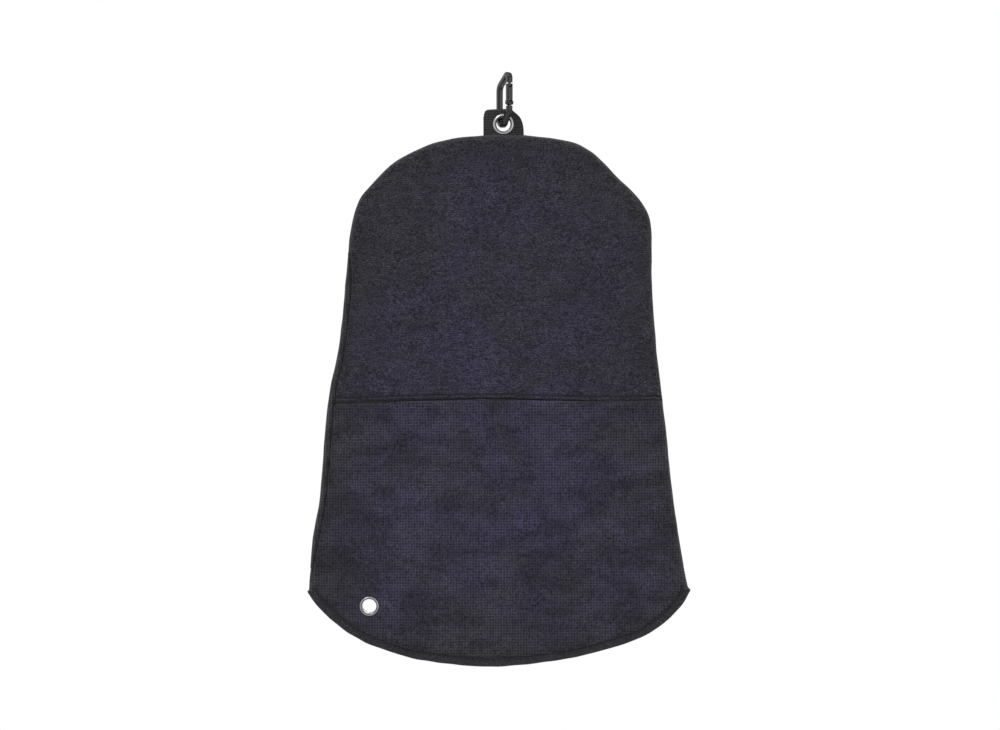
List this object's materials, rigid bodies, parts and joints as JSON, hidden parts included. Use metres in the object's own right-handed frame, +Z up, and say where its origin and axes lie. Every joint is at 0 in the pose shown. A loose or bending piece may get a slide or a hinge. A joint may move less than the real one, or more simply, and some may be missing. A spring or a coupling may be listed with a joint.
{
  "type": "golf towel",
  "caption": "Mitt-shaped golf towel with a domed top, flared sides and a curved open mouth, hung by a webbing tab and eyelet from a small spring-gate carabiner.",
  "frame": {"origin": "inside the crown of the carabiner, right above the axis that the towel swings about", "axes": "+Z up, the front of the towel faces -Y, +X to the right of someone facing its front"},
  "size_m": [0.251, 0.0187, 0.3919],
  "materials": {
    "cloth_plush": "brushed short-nap microfibre",
    "cloth_waffle": "waffle-knit microfibre",
    "lining": "thin coated lining",
    "thread": "polyester sewing thread",
    "webbing": "woven polyester webbing",
    "eyelet_metal": "nickel-plated",
    "black_metal": "black anodised, satin",
    "spring_steel": "drawn wire"
  },
  "bodies": {
    "carabiner": {"carabiner_frame": "black_metal", "gate_rivet": "black_metal"},
    "gate": {"gate": "black_metal", "gate_plunger": "spring_steel", "gate_spring": "spring_steel"},
    "tab": {"hanging_tab": "webbing", "tab_eyelet": "eyelet_metal", "tab_eyelet_washer": "eyelet_metal"},
    "towel": {"front_upper_panel": "cloth_plush", "front_lower_panel": "cloth_waffle", "back_panel": "cloth_waffle", "front_lining": "lining", "back_lining": "lining", "edge_seam_allowance": "cloth_waffle", "middle_seam_allowance": "cloth_waffle", "front_hem": "cloth_waffle", "back_hem": "cloth_waffle", "corner_eyelet": "eyelet_metal", "corner_eyelet_washer": "eyelet_metal", "middle_topstitch": "thread", "front_hem_stitch": "thread", "back_hem_stitch": "thread", "edge_oversewing": "thread", "tab_box_stitch": "thread"}
  },
  "joints": [
    {"name": "gate_hinge", "type": "hinge", "parent": "carabiner", "child": "gate", "pos_m": [0.00427, -0.00959, -0.01205], "axis": [-0.9135, -0.4067, 0], "range_deg": [0, 30], "stiffness_Nm_per_rad": 0.004, "springref_deg": -20.05},
    {"name": "tab_swing", "type": "hinge", "parent": "carabiner", "child": "tab", "pos_m": [0, 0, -0.02584], "axis": [0, 1, 0], "range_deg": [-80, 80]},
    {"name": "tab_flex", "type": "hinge", "parent": "tab", "child": "towel", "pos_m": [0.0004, 0, -0.03794], "axis": [1, 0, 0], "range_deg": [-60, 60], "deforming": ["hanging_tab"]}
  ]
}
